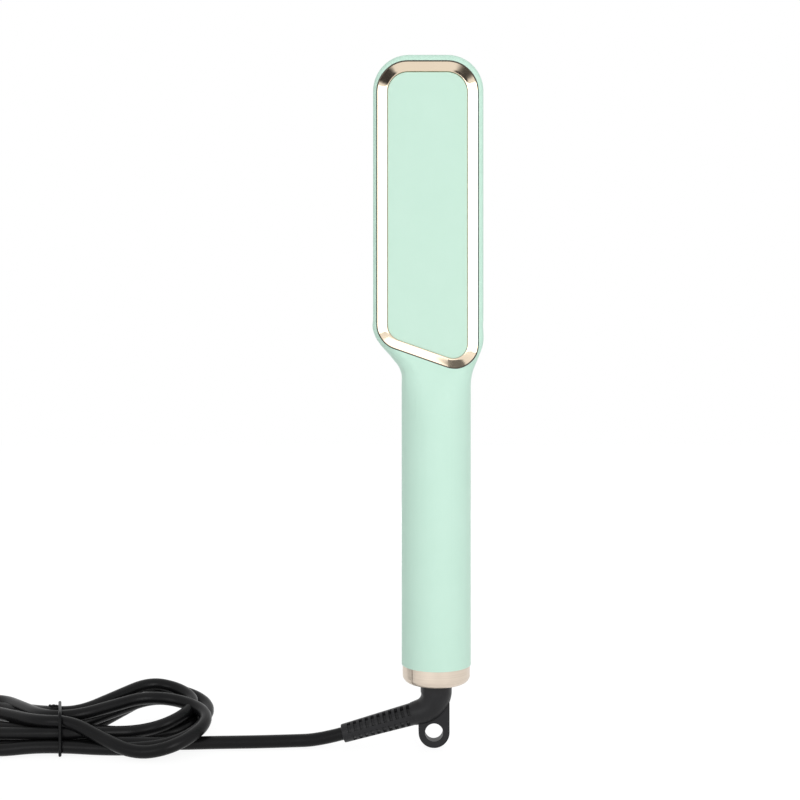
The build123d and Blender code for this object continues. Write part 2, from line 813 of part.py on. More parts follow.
def collar_half(direction):
    """Half of the end collar: outer ring, floor round the swivel's neck, and spigot into the handle."""
    bead_low = spigot_top - 4.5
    with BuildPart() as half:
        with BuildSketch(Plane.XZ) as profile:
            with BuildLine():
                Polyline((hub_bore, collar_bottom), (collar_radius, collar_bottom), (collar_radius, handle_bottom),
                         (spigot_radius, handle_bottom), (spigot_radius, bead_low),
                         (spigot_radius + 0.4, bead_low + 0.4), (spigot_radius + 0.4, bead_low + 1.0),
                         (spigot_radius, bead_low + 1.4), (spigot_radius, spigot_top),
                         (spigot_radius - spigot_wall, spigot_top), (spigot_radius - spigot_wall, ledge),
                         (hub_flange_radius + run_gap, ledge),
                         (hub_flange_radius + run_gap, collar_bottom + collar_floor),
                         (hub_bore, collar_bottom + collar_floor), close=True)
            make_face()
            lowest = profile.vertices().group_by(Axis.Y)[0].sort_by(Axis.X)
            fillet(lowest[-1], collar_round)
            fillet(lowest[0], 0.5)
        revolve(axis=Axis.Z)
        split(bisect_by=Plane(origin=slit_side * (direction * slit_gap / 2), z_dir=slit_side * direction),
              keep=Keep.TOP)
    return half


collar_right = collar_half(1)
save(collar_right, "collar_right")
collar_left = collar_half(-1)
save(collar_left, "collar_left")

ring_levels = [hub_top + 2.2, hub_top + 2.2 + slip_ring_height + 1.2]
brush_inner = spindle_radius + run_gap / 2
brush_low = hub_top + 1.2
brush_high = spigot_top + 1.5
with BuildPart() as contact_block:
    with BuildSketch(Plane.XY.offset(ledge)):
        Circle(block_radius)
        Circle(spindle_radius + 2 * run_gap, mode=Mode.SUBTRACT)
        with Locations((brush_inner + 0.5, 0), (-brush_inner - 0.5, 0)):
            Rectangle(1.6, brush_width + 2 * fit_gap, mode=Mode.SUBTRACT)
    extrude(amount=spigot_top - ledge)
save(contact_block, "contact_block")

with BuildPart() as brush_contacts:
    with BuildSketch(Plane.XY.offset(brush_low)):
        with Locations((brush_inner + brush_thickness / 2, 0), (-brush_inner - brush_thickness / 2, 0)):
            Rectangle(brush_thickness, brush_width)
    extrude(amount=brush_high - brush_low)
save(brush_contacts, "brush_contacts")

with BuildPart() as swivel_hub:
    with BuildSketch(Plane.XY.offset(hub_under)):
        Circle(hub_flange_radius)
    extrude(amount=hub_flange)
    with BuildSketch(Plane.XY.offset(hub_top)):
        Circle(spindle_radius)
    extrude(amount=spindle_top - hub_top)
    for level in ring_levels:
        with BuildSketch(Plane.XY.offset(level)):
            Circle(spindle_radius)
            Circle(spindle_radius - slip_ring_depth, mode=Mode.SUBTRACT)
        extrude(amount=slip_ring_height, mode=Mode.SUBTRACT)
save(swivel_hub, "swivel_hub")

with BuildPart() as slip_rings:
    for level in ring_levels:
        with BuildSketch(Plane.XY.offset(level)):
            Circle(spindle_radius)
            Circle(spindle_radius - slip_ring_depth + 0.02, mode=Mode.SUBTRACT)
        extrude(amount=slip_ring_height)
save(slip_rings, "slip_rings")

# ---------------------------------------------------------------- cord outlet

with BuildPart() as cord_elbow:
    with BuildSketch(Plane.XY.offset(hub_under)):
        Circle(neck_radius)
    extrude(amount=elbow_top - hub_under)
    with BuildLine(Plane.XZ):
        bend = JernArc((0, elbow_top), (0, -1), elbow_turn, outlet_slope - 90)
        Line(bend @ 1, (relief_start.X, relief_start.Z))
    with BuildSketch(Plane.XY.offset(elbow_top)):
        Circle(neck_radius)
    with BuildSketch(Plane(origin=relief_start, x_dir=outlet_up, z_dir=outlet_direction)):
        Circle(outlet_radius)
    sweep(multisection=True)
    with BuildSketch(Plane.XZ.offset(-tab_thickness / 2)) as tab_outline:
        with Locations((tab_offset, tab_z)):
            Circle(tab_radius)
        with Locations((tab_offset, tab_z)):
            Rectangle(2 * tab_radius, outlet_start.Z + 2.5 - tab_z, align=(Align.CENTER, Align.MIN))
    extrude(amount=tab_thickness)
    with BuildSketch(Plane.XZ.offset(-tab_thickness)):
        with Locations((tab_offset, tab_z)):
            Circle(tab_hole)
    extrude(amount=2 * tab_thickness, mode=Mode.SUBTRACT)
save(cord_elbow, "cord_elbow")

relief_plane = Plane(origin=relief_start, x_dir=outlet_up, z_dir=outlet_direction)
slot_reach = relief_start_radius + 1
slot_half = slot_reach * math.tan(math.radians(relief_sector))
with BuildPart() as strain_relief:
    with BuildSketch(relief_plane):
        Circle(relief_start_radius)
    with BuildSketch(relief_plane.offset(relief_length)):
        Circle(relief_end_radius)
    loft()
    fillet(strain_relief.faces().sort_by(Axis.X)[0].edges(), 0.4)
    # two opposite rows of slots, and two more half a pitch further on
    for row_angle, shift in ((-45, relief_lead), (45, relief_lead + relief_pitch / 2)):
        slot_count = int((relief_length - relief_plain - shift - relief_slot) / relief_pitch) + 1
        for number in range(slot_count):
            with BuildSketch(relief_plane.offset(shift + relief_pitch * number)):
                with PolarLocations(0, 2, start_angle=row_angle):
                    Polygon((0, 0), (slot_reach, slot_half), (slot_reach, -slot_half), align=None)
                Circle(relief_core, mode=Mode.SUBTRACT)
            extrude(amount=relief_slot, mode=Mode.SUBTRACT)
    # socket that the cord comes out of
    with BuildSketch(relief_plane.offset(relief_length - socket_depth)):
        Circle(cord_radius + fit_gap)
    extrude(amount=2 * socket_depth, mode=Mode.SUBTRACT)
save(strain_relief, "strain_relief")

# ---------------------------------------------------------------- cord, hank and plug

cord_start = relief_end - outlet_direction * socket_depth
touch_down = cord_start + outlet_direction * ((cord_start.Z - cord_z) / math.sin(slope))
cord_points = [cord_start, touch_down, Vector(-64, -1.5, cord_z), Vector(-80, -2.8, cord_z),
               Vector(-97, -3.5, cord_z), Vector(-113, -5.0, cord_z)]
cord_radii = bend_radii(cord_points)
with BuildPart() as cord:
    with BuildLine() as cord_path:
        FilletPolyline(*cord_points, radius=cord_radii)
    with BuildSketch(Plane(origin=cord_start, z_dir=outlet_direction)):
        Circle(cord_radius)
    sweep()
report_tube("cord", cord.part, cord_path.wire(), cord_radii)
save(cord, "cord")

hank_right = hank_tie_x + hank_half_length
hank_left = hank_tie_x - hank_half_length
waist_low = floor + tie_thickness
tie_outer_width = waist_width + 2 * tie_thickness
with BuildPart() as cord_hank:
    # plan of the two fanned-out ends and the bundle between them
    with BuildSketch(Plane.XY.offset(floor)):
        for end, lean in ((1, 0), (-1, -4)):
            with BuildLine():
                tip = hank_tie_x + end * hank_half_length
                broad = hank_tie_x + end * hank_half_length * 0.60
                Spline((hank_tie_x, -waist_width / 2), (broad, lean - 21), (tip, lean + 8), (broad, lean + 42),
                       (hank_tie_x, waist_width / 2))
                Line((hank_tie_x, waist_width / 2), (hank_tie_x, -waist_width / 2))
            make_face()
        with Locations((hank_tie_x, 0)):
            Rectangle(20, waist_width)
    extrude(amount=hank_rise)
    # side view: low at the waist and at both ends
    with BuildSketch(Plane.XZ.offset(-60)):
        with BuildLine():
            top = waist_low + waist_height
            Spline((hank_left, floor + 12), (hank_tie_x - 40, floor + hank_rise - 2), (hank_tie_x, top),
                   (hank_tie_x + 36, floor + hank_rise), (hank_right, floor + 14))
            Polyline((hank_right, floor + 14), (hank_right, floor), (hank_left, floor), (hank_left, floor + 12))
        make_face()
    extrude(amount=120, mode=Mode.INTERSECT)
    # the openings inside the loops
    with BuildSketch(Plane.XY.offset(floor)):
        for end, lean in ((1, 0), (-1, -4)):
            with BuildLine():
                near = hank_tie_x + end * 11
                middle = hank_tie_x + end * 30
                far = hank_tie_x + end * 45
                Spline((near, 3), (middle, lean + 4), (far, lean + 16), (middle, lean + 25), (near, 3))
            make_face()
    extrude(amount=hank_rise, mode=Mode.SUBTRACT)
    # the tie's seat
    with BuildSketch(Plane.YZ.offset(hank_tie_x - tie_width / 2 - fit_gap)):
        with Locations((0, floor)):
            Rectangle(3 * waist_width, 3 * hank_rise)
        with Locations((0, waist_low + waist_height / 2)):
            RectangleRounded(waist_width, waist_height, 5, mode=Mode.SUBTRACT)
    extrude(amount=tie_width + 2 * fit_gap, mode=Mode.SUBTRACT)
save(cord_hank, "cord_hank")

with BuildPart() as hank_tie:
    with BuildSketch(Plane.YZ.offset(hank_tie_x - tie_width / 2)):
        with Locations((0, waist_low + waist_height / 2)):
            RectangleRounded(tie_outer_width, waist_height + 2 * tie_thickness, 6)
            RectangleRounded(waist_width, waist_height, 5, mode=Mode.SUBTRACT)
    extrude(amount=tie_width)
save(hank_tie, "hank_tie")

plug_z = floor + plug_height / 2
tail_points = [Vector(-198, -11, cord_z), Vector(-213, -14, cord_z), Vector(-228, -16, cord_z),
               Vector(-244, -16.8, cord_z + 0.8), Vector(-258, -17, plug_z)]
tail_radii = bend_radii(tail_points)
with BuildPart() as cord_tail:
    with BuildLine() as tail_path:
        FilletPolyline(*tail_points, radius=tail_radii)
    with BuildSketch(Plane(origin=tail_points[0], z_dir=tail_points[1] - tail_points[0])):
        Circle(cord_radius)
    sweep()
report_tube("tail", cord_tail.part, tail_path.wire(), tail_radii)
save(cord_tail, "cord_tail")

plug_back = tail_points[-1]
plug_direction = Vector(-14, -0.2, 0).normalized()
plug_side = Vector(0, 0, 1).cross(plug_direction)
plug_plane = Plane(origin=plug_back, x_dir=plug_side, z_dir=plug_direction)
with BuildPart() as plug_body:
    for reach, width, height, corner in ((0, 8.4, 8.4, 4.0), (0.28, 11, 10.5, 4.6), (0.55, 27, 12.6, 5.2),
                                         (1, 1, 1, 5.6)):
        with BuildSketch(plug_plane.offset(reach * plug_length)):
            RectangleRounded(plug_width if reach == 1 else width, plug_height if reach == 1 else height, corner)
    loft()
save(plug_body, "plug_body")

face_plane = plug_plane.offset(plug_length)
pin_spots = [(pin_spacing / 2, 0), (-pin_spacing / 2, 0)]
with BuildPart() as plug_pins:
    with BuildSketch(face_plane):
        with Locations(*pin_spots):
            Circle(pin_radius - 0.5)
    extrude(amount=sleeve_length)
    with BuildSketch(face_plane.offset(sleeve_length)):
        with Locations(*pin_spots):
            Circle(pin_radius)
    extrude(amount=pin_length - sleeve_length)
    fillet(plug_pins.faces().sort_by(Axis.X)[0:2].edges(), 0.9)
save(plug_pins, "plug_pins")

with BuildPart() as pin_sleeves:
    with BuildSketch(face_plane):
        with Locations(*pin_spots):
            Circle(sleeve_radius)
            Circle(pin_radius - 0.5 + 0.02, mode=Mode.SUBTRACT)
    extrude(amount=sleeve_length)
save(pin_sleeves, "pin_sleeves")
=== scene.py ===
import json
import math

import bpy
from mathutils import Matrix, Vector


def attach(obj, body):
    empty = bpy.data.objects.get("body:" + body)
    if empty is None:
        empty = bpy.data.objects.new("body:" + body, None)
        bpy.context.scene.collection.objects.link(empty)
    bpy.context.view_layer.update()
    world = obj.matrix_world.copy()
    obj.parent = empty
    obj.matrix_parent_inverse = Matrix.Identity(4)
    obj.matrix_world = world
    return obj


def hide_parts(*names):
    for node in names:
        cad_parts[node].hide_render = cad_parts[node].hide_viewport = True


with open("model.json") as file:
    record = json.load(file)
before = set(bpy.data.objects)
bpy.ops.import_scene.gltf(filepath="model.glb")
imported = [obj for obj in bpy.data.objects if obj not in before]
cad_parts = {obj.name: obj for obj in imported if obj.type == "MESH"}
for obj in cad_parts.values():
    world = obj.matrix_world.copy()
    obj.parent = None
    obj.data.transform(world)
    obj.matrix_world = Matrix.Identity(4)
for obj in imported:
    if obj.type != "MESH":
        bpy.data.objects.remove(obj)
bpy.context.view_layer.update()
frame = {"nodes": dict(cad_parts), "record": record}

nodes = frame["nodes"]

# The frame is the CAD model's: +Z up the handle, and the back of the head faces the camera at -Y.
# Shapes are written in millimetres, and MM turns them into metres. Stage, lights and camera are in metres.
MM = 0.001
PIXELS = 800                # width and height of the photograph

# ---------------------------------------------------------------- node helpers

CLOUD_SCALE = 60.0          # of the noise that clouds a colour
SMUDGE_SCALE = 180.0        # of the noise that makes a roughness uneven
GRAIN_DEPTH = 0.00002       # of fine grain and brushed lines, in metres
# the sockets of a Mix node in colour mode
MIX_FACTOR, MIX_FIRST, MIX_SECOND, MIX_RESULT = 0, 6, 7, 2


def new_material(name):
    material = bpy.data.materials.new(name)
    material.use_nodes = True
    tree = material.node_tree
    tree.nodes.clear()
    output = tree.nodes.new("ShaderNodeOutputMaterial")
    shader = tree.nodes.new("ShaderNodeBsdfPrincipled")
    tree.links.new(shader.outputs["BSDF"], output.inputs["Surface"])
    return material, tree, shader


def place(tree):
    """Object coordinates, so a pattern keeps its scale and needs no unwrapping."""
    return tree.nodes.new("ShaderNodeTexCoord").outputs["Object"]


def noise(tree, scale, detail=3.0):
    texture = tree.nodes.new("ShaderNodeTexNoise")
    texture.inputs["Scale"].default_value = scale
    texture.inputs["Detail"].default_value = detail
    tree.links.new(place(tree), texture.inputs["Vector"])
    return texture.outputs["Fac"]


def spread(tree, value, low, high):
    """Maps 0.3 to 0.7, where most of a noise pattern lies, onto low to high."""
    ranged = tree.nodes.new("ShaderNodeMapRange")
    ranged.inputs["From Min"].default_value = 0.3
    ranged.inputs["From Max"].default_value = 0.7
    ranged.inputs["To Min"].default_value = low
    ranged.inputs["To Max"].default_value = high
    tree.links.new(value, ranged.inputs["Value"])
    return ranged.outputs["Result"]


def tint(tree, value, low, high):
    """A colour that goes from low to high with the pattern."""
    mixed = tree.nodes.new("ShaderNodeMix")
    mixed.data_type = "RGBA"
    mixed.inputs[MIX_FIRST].default_value = (*low, 1)
    mixed.inputs[MIX_SECOND].default_value = (*high, 1)
    tree.links.new(spread(tree, value, 0, 1), mixed.inputs[MIX_FACTOR])
    return mixed.outputs[MIX_RESULT]


def bump(tree, height, strength):
    node = tree.nodes.new("ShaderNodeBump")
    node.inputs["Strength"].default_value = strength
    node.inputs["Distance"].default_value = GRAIN_DEPTH
    tree.links.new(height, node.inputs["Height"])
    return node.outputs["Normal"]


def moulded(name, low, high, roughness, grain=1500.0, grain_strength=0.25, metallic=0.0,
            sheen=0.0, coat=0.0, specular=0.5):
    """A moulded or coated surface: cloudy colour, uneven roughness and a fine grain."""
    material, tree, shader = new_material(name)
    clouds = noise(tree, CLOUD_SCALE)
    tree.links.new(tint(tree, clouds, low, high), shader.inputs["Base Color"])
    smudges = noise(tree, SMUDGE_SCALE)
    tree.links.new(spread(tree, smudges, roughness - 0.03, roughness + 0.04), shader.inputs["Roughness"])
    tree.links.new(bump(tree, noise(tree, grain, detail=2.0), grain_strength), shader.inputs["Normal"])
    shader.inputs["Metallic"].default_value = metallic
    shader.inputs["Sheen Weight"].default_value = sheen
    shader.inputs["Specular IOR Level"].default_value = specular
    shader.inputs["Coat Weight"].default_value = coat
    return material


def brushed(name, low, high, roughness, stretch, metallic=1.0):
    """Metal whose pattern is finest along the axes with the largest stretch."""
    material, tree, shader = new_material(name)
    mapping = tree.nodes.new("ShaderNodeMapping")
    mapping.inputs["Scale"].default_value = stretch
    tree.links.new(place(tree), mapping.inputs["Vector"])
    texture = tree.nodes.new("ShaderNodeTexNoise")
    texture.inputs["Scale"].default_value = 1.0
    texture.inputs["Detail"].default_value = 4.0
    tree.links.new(mapping.outputs["Vector"], texture.inputs["Vector"])
    lines = texture.outputs["Fac"]
    tree.links.new(tint(tree, lines, low, high), shader.inputs["Base Color"])
    tree.links.new(spread(tree, lines, roughness - 0.05, roughness + 0.06), shader.inputs["Roughness"])
    tree.links.new(bump(tree, lines, strength=0.15), shader.inputs["Normal"])
    shader.inputs["Metallic"].default_value = metallic
    return material


# ---------------------------------------------------------------- materials

mint = moulded("mint_soft_touch", (0.618, 0.886, 0.748), (0.638, 0.900, 0.766), 0.56,
               grain=2600.0, grain_strength=0.18, sheen=0.06)
mint_panel = moulded("mint_panel", (0.605, 0.856, 0.721), (0.621, 0.867, 0.735), 0.50,
                     grain=2600.0, grain_strength=0.12)
gold_mirror = moulded("gold_mirror", (0.80, 0.67, 0.51), (0.82, 0.69, 0.53), 0.08,
                      grain=900.0, grain_strength=0.02, metallic=1.0)
gold_satin = brushed("gold_satin", (0.68, 0.585, 0.485), (0.755, 0.655, 0.55), 0.34, (30, 30, 2600),
                     metallic=0.75)
# painted shade: a near-black finish for the tube that stands in for the dark gap round the trim ring
gap_shade_dark = moulded("gap_shade_dark", (0.050, 0.042, 0.034), (0.075, 0.064, 0.052), 0.40,
                      grain=900.0, specular=0.3)
black_resin = moulded("black_resin", (0.012, 0.012, 0.013), (0.020, 0.020, 0.021), 0.46,
                      grain=2200.0, grain_strength=0.35)
black_gloss = moulded("black_gloss", (0.008, 0.008, 0.009), (0.012, 0.012, 0.013), 0.10,
                      grain=700.0, grain_strength=0.02, coat=0.6)
black_soft = moulded("black_soft_moulding", (0.010, 0.010, 0.011), (0.016, 0.016, 0.018), 0.40,
                     grain=1800.0, grain_strength=0.22, specular=0.26)
cord_sheath = moulded("cord_sheath", (0.004, 0.004, 0.0045), (0.008, 0.008, 0.0085), 0.30,
                      grain=1200.0, grain_strength=0.12, specular=0.14)
aluminium = brushed("heater_aluminium", (0.50, 0.50, 0.52), (0.66, 0.66, 0.67), 0.32, (2600, 40, 300))
steel = brushed("zinc_steel", (0.48, 0.48, 0.50), (0.62, 0.62, 0.62), 0.30, (200, 200, 900))
brass = brushed("nickel_brass", (0.62, 0.58, 0.50), (0.74, 0.70, 0.60), 0.24, (900, 900, 900))
ceramic = moulded("white_ceramic", (0.72, 0.71, 0.67), (0.80, 0.79, 0.76), 0.62, grain=900.0)
mica = moulded("mica_sheet", (0.38, 0.30, 0.20), (0.52, 0.44, 0.30), 0.40, grain=300.0)
board = moulded("circuit_board_green", (0.012, 0.090, 0.035), (0.020, 0.130, 0.050), 0.35, grain=600.0)
component = moulded("component_black", (0.012, 0.012, 0.014), (0.025, 0.025, 0.028), 0.38, grain=1500.0)
white_plastic = moulded("white_plastic", (0.70, 0.70, 0.68), (0.80, 0.80, 0.78), 0.35, grain=1200.0)

clear, clear_tree, clear_shader = new_material("light_guide")
clear_tint = tint(clear_tree, noise(clear_tree, 400.0), (0.75, 0.80, 0.82), (0.88, 0.92, 0.94))
clear_tree.links.new(clear_tint, clear_shader.inputs["Base Color"])
clear_shader.inputs["Roughness"].default_value = 0.25
clear_shader.inputs["Transmission Weight"].default_value = 0.5

finishes = {
    "mint": mint, "gold_mirror": gold_mirror, "gold_satin": gold_satin, "black_resin": black_resin,
    "black_gloss": black_gloss, "aluminium": aluminium, "ceramic": ceramic, "mica": mica, "steel": steel,
    "brass": brass, "board": board, "component": component, "clear": clear,
    "white_plastic": white_plastic, "cord_rubber": cord_sheath, "black_soft": black_soft,
}
slots = {entry["node"]: entry["material_slot"] for entry in frame["record"]["subparts"]}

smooth_angle = 32.0         # facets that meet at less than this many degrees are shaded as one surface
spot_grid = 1e6             # doubled vertices are matched to a millionth of a metre


def smooth_normals(piece):
    """Smooth shading across facets that meet at a small angle, also where vertices are doubled."""
    mesh = piece.data
    spots = [tuple(round(value * spot_grid) for value in vertex.co) for vertex in mesh.vertices]
    faces_at = {}
    for face in mesh.polygons:
        for corner in face.vertices:
            faces_at.setdefault(spots[corner], []).append((face.normal.copy(), face.area))
    limit = math.cos(math.radians(smooth_angle))
    normals = []
    for face in mesh.polygons:
        for corner in face.vertices:
            total = Vector((0, 0, 0))
            for normal, area in faces_at[spots[corner]]:
                if normal.dot(face.normal) > limit:
                    total += normal * area
            normals.append(total.normalized() if total.length > 0 else face.normal)
    mesh.polygons.foreach_set("use_smooth", [True] * len(mesh.polygons))
    mesh.normals_split_custom_set(normals)


for name, node in nodes.items():
    node.data.materials.clear()
    node.data.materials.append(finishes[slots[name]])
    smooth_normals(node)
# the inlay is a shade darker than the shells, which share its slot
nodes["back_panel"].data.materials[0] = mint_panel

# ---------------------------------------------------------------- the cord

cord_radius = 2.75
floor_z = -94.0
cord_z = floor_z + cord_radius
plug_z = floor_z + 6.85     # where the cord enters the plug
tie_x = -163.6
tie_half = 7                # half of the straight run through the tie
swivel_body = "cord_side"

# the route from the strain relief to the hank, and from the hank to the plug, as in the CAD model
lead_points = [(-38.12, 0, -87.79), (-50.45, 0, cord_z), (-64, -1.5, cord_z), (-80, -2.8, cord_z),
               (-97, -3.5, cord_z), (-113, -5.0, cord_z)]
tail_points = [(-198, -11, cord_z), (-213, -14, cord_z), (-228, -16, cord_z),
               (-244, -16.8, cord_z + 0.8), (-258, -17, plug_z)]

# The hank's turns, in the order in which they were wound. The anchors of each end are (x, y, height), with
# x from the tie and the height above the floor; the crossings of the tie are (y, height). A turn leaves the
# tie to the left along the front, rounds the left end, comes back through the tie further back, rounds the
# right end and comes back to the tie along the front.
turns = [
    {"left": [(-43, -6, 2.75), (-62, 13, 4.5), (-43, 32, 6)], "tie_back": (4.8, 3.8),
     "right": [(43, 39, 13.5), (60, 22, 7.5), (41, 4.6, 2.75)], "tie_front": (-0.8, 3.8)},
    {"left": [(-46, 0, 3.2), (-60.5, 14.5, 3), (-46, 29, 2.75)], "tie_back": (7.6, 8.5),
     "right": [(40, 33.5, 11.5), (54.5, 21, 7), (40, 8.5, 2.75)], "tie_front": (-3.6, 8.5)},
    {"left": [(-43, -1.5, 8.5), (-57, 12.5, 9), (-43, 26.5, 9)], "tie_back": (4.8, 13.2),
     "right": [(38, 30.5, 18.6), (54, 16, 13), (39, 1.5, 6.6)], "tie_front": (-9.2, 8.5)},
    {"left": [(-44, -7.5, 8.2), (-63, 11.5, 10), (-44, 30.5, 11)], "tie_back": (-0.8, 13.2),
     "right": [(42, 18, 15.8), (63, 0, 11), (45, -18, 2.75)], "tie_front": (-7.2, 12.9)},
    {"left": [(-48, 12, 12.5), (-62, 25, 9.5), (-49, 38.5, 6)], "tie_back": (2.0, 8.5),
     "right": [(42, 25, 13.5), (61, 7, 8.5), (43, -11.6, 2.75)], "tie_front": (-12, 3.8)},
]
lead_tie = (-6.4, 3.8)      # where the cord first crosses the tie
hank_exit = (-21, -13.5, 2.75)      # and where it sets off for the plug, placed like the anchors

# The corners of half of one end of a turn, as shares of the way from an anchor to the tip in x, y and
# height. In x and y they are those of an octagon, whose side is 0.41 of its width.
end_shares = [(-0.41, 0, -0.15), (0.41, 0, 0.30), (1, 0.59, 0.80)]


def between(start, end, shares):
    """The point at the given shares of the way from start to end, one share for each axis."""
    return tuple(low + (high - low) * share for low, high, share in zip(start, end, shares))


def round_end(near, tip, far):
    """The corners which carry the cord round one end of the hank, from near over tip to far."""
    return ([between(near, tip, shares) for shares in end_shares]
            + [between(far, tip, shares) for shares in reversed(end_shares)])


def half_turn(start, anchors, end):
    """One end of a turn: out of the tie at start, round the anchors, and back to the tie at end."""
    side = math.copysign(1, anchors[1][0])
    leaving = (tie_half * side, *start)
    arriving = (tie_half * side, *end)
    halfway = (0.5, 0.5, 0.5)
    fold = round_end(*anchors)
    return [leaving, between(leaving, fold[0], halfway), *fold,
            between(arriving, fold[-1], halfway), arriving]


def hank_points():
    """The hank's control points; no height is less than that of a cord which lies on the floor."""
    points = []
    entering = lead_tie
    for turn in turns:
        points += half_turn(entering, turn["left"], turn["tie_back"])
        points += half_turn(turn["tie_back"], turn["right"], turn["tie_front"])
        entering = turn["tie_front"]
    points += [(-tie_half, *entering), hank_exit]
    return [(tie_x + x, y, floor_z + max(height, cord_radius)) for x, y, height in points]


def nurbs_tube(name, points, radius, material, closed=False):
    """A round tube along one smooth NURBS line drawn by its control points, in millimetres."""
    data = bpy.data.curves.new(name, "CURVE")
    data.dimensions = "3D"
    data.bevel_depth = radius * MM
    data.bevel_resolution = 5
    data.use_fill_caps = True
    data.resolution_u = 8
    spline = data.splines.new("NURBS")
    spline.points.add(len(points) - 1)
    for control, point in zip(spline.points, points):
        control.co = (*(value * MM for value in point), 1)
    spline.order_u = 3
    spline.use_endpoint_u = not closed
    spline.use_cyclic_u = closed
    piece = bpy.data.objects.new(name, data)
    bpy.context.scene.collection.objects.link(piece)
    data.materials.append(material)
    return piece


cord_piece = nurbs_tube("mains_cord", lead_points + hank_points() + tail_points, cord_radius, cord_sheath)
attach(cord_piece, swivel_body)
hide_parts("cord", "cord_hank", "cord_tail")

# ---------------------------------------------------------------- the hank's wire tie

tie_radius = 0.65
tie_lean = -0.33            # the tie stands across the hank at this slope, in line with the camera's view
# (y, height) of the corners round which the wire is drawn
tie_corners = [(-13.5, 0.66), (-15.4, 1.2), (-15.6, 4.2), (-13.0, 9.5), (-10.9, 14.4), (-9.2, 16.7),
               (-6.0, 17.2), (4.6, 17.2), (8.6, 16.8), (10.8, 14.0), (11.6, 9.0), (10.6, 4.0),
               (8.6, 0.9), (5.0, 0.66), (-4.0, 0.66)]
tie_points = [(tie_x + tie_lean * y, y, floor_z + height) for y, height in tie_corners]
tie_piece = nurbs_tube("wire_tie", tie_points, tie_radius, cord_sheath, closed=True)

# the wire's two twisted ends: (x, y, z) of their corners, with x from the tie and z from twist_z
twist_radius = 0.5
twist_z = floor_z + 15.9
twist_corners = {
    "tie_end_long": [(-1.0, 2.0, 0.6), (-2.6, 3.4, 0.9), (-4.0, 2.6, 0.4), (-5.8, 3.6, 0.8)],
    "tie_end_short": [(-1.5, 3.6, 0.5), (-2.7, 2.2, 0.7), (-4.0, 3.6, 1.0), (-4.8, 2.6, 0.5)],
}
twist_ends = [nurbs_tube(name, [(tie_x + x, y, twist_z + height) for x, y, height in corners],
                         twist_radius, cord_sheath)
              for name, corners in twist_corners.items()]
for piece in (tie_piece, *twist_ends):
    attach(piece, swivel_body)
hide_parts("hank_tie")

# ---------------------------------------------------------------- painted shade in the gap round the trim ring

# (x, z) of the ring's outer corners and the radius of each, from the CAD model
ring_corners = [(-25.5, 80.83), (17.3, 65.84), (17.3, 199.9), (-25.5, 199.9)]
ring_rounds = [11.0, 10.0, 13.2, 13.2]
gap_y = -12.56              # just inside the head's back, which is at -12.6
gap_radius = 0.24


def rounded_outline(corners, rounds):
    """Control points of a closed line which runs straight along a polygon's sides and rounds its corners."""
    points = []
    for index, (corner, radius) in enumerate(zip(corners, rounds)):
        corner = Vector(corner)
        back = (Vector(corners[index - 1]) - corner).normalized()
        onward = (Vector(corners[(index + 1) % len(corners)]) - corner).normalized()
        turn = math.pi - back.angle(onward)
        reach = radius * math.tan(turn / 2)
        step = radius * math.tan(turn / 4)
        points += [corner + back * (reach + step), corner + back * (reach - step),
                   corner + onward * (reach - step), corner + onward * (reach + step)]
    return points


# a thin dark tube along the ring's outer edge, painted shade where the gap between ring and head falls dark
gap_points = [(x, gap_y, z) for x, z in rounded_outline(ring_corners, ring_rounds)]
gap_shade_piece = nurbs_tube("ring_gap_shade", gap_points, gap_radius, gap_shade_dark, closed=True)
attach(gap_shade_piece, "comb_body")

# ---------------------------------------------------------------- signs on the keys

sign_y = 14.3               # the caps' tops
sign_stroke = 0.26          # radius of the signs' lines
sign_half = 1.6             # half the width of the plus and the minus
power_radius = 1.75
power_z, plus_z, minus_z = 15.0, 3.0, -8.5


def sign(name, points, body):
    piece = nurbs_tube(name, [(x, sign_y, z) for x, z in points], sign_stroke, black_resin)
    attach(piece, body)


# the power sign: a ring, open at the top from -40 to 40 degrees, and a bar in the opening
power_angles = [math.radians(angle) for angle in range(40, 321, 20)]
power_arc = [(power_radius * math.sin(angle), power_z + power_radius * math.cos(angle))
             for angle in power_angles]
sign("power_sign_ring", power_arc, "power_key")
sign("power_sign_bar", [(0, power_z + 0.2), (0, power_z + 1.2), (0, power_z + 2.2)], "power_key")
sign("plus_sign_across", [(-sign_half, plus_z), (0, plus_z), (sign_half, plus_z)], "plus_key")
sign("plus_sign_up", [(0, plus_z - sign_half), (0, plus_z), (0, plus_z + sign_half)], "plus_key")
sign("minus_sign", [(-sign_half, minus_z), (0, minus_z), (sign_half, minus_z)], "minus_key")

# ---------------------------------------------------------------- stage, light and camera

floor_half = 3.0            # half the floor's side
floor_drop = 0.0001         # how far the floor lies below the object
floor_white = 1.13          # strength of the floor's own white, for camera and glossy rays only
floor_share = 0.80          # how far that white covers the lit floor, which keeps a faint shadow

# Three things which show in reflections only. The edge of each one says where it fades out.
# A dark spot on the floor in front, for the black patch at the trim ring's lower right corner:
dark_spot = (0.055, -0.37, 0)
dark_spot_edge = (0.096, 0.108)
dark_spot_depth = 0.97
# a white card on the floor, which adds card_white to it, for the white lower side of the ring:
white_card = (-0.17, -0.45, 0)
white_card_edge = (0.24, 0.28)
card_white = 1.3
# and two dark flags over the lamps, given by their directions, with the edge in cosines of the angle.
dark_flags = [(-0.30, -0.80, 0.52), (0.27, -0.80, 0.53)]
dark_flag_edge = (0.9945, 0.986)
dark_flag_depth = 0.95

world_light = 0.55          # strength of the world's light on the object; camera and glossy rays see 1


def area_light(name, location, target, width, height, power):
    data = bpy.data.lights.new(name, "AREA")
    data.shape = "RECTANGLE"
    data.size = width
    data.size_y = height
    data.energy = power
    lamp = bpy.data.objects.new(name, data)
    lamp.location = location
    lamp.rotation_euler = (Vector(target) - Vector(location)).to_track_quat("-Z", "Y").to_euler()
    lamp.visible_camera = False
    bpy.context.scene.collection.objects.link(lamp)
    return lamp


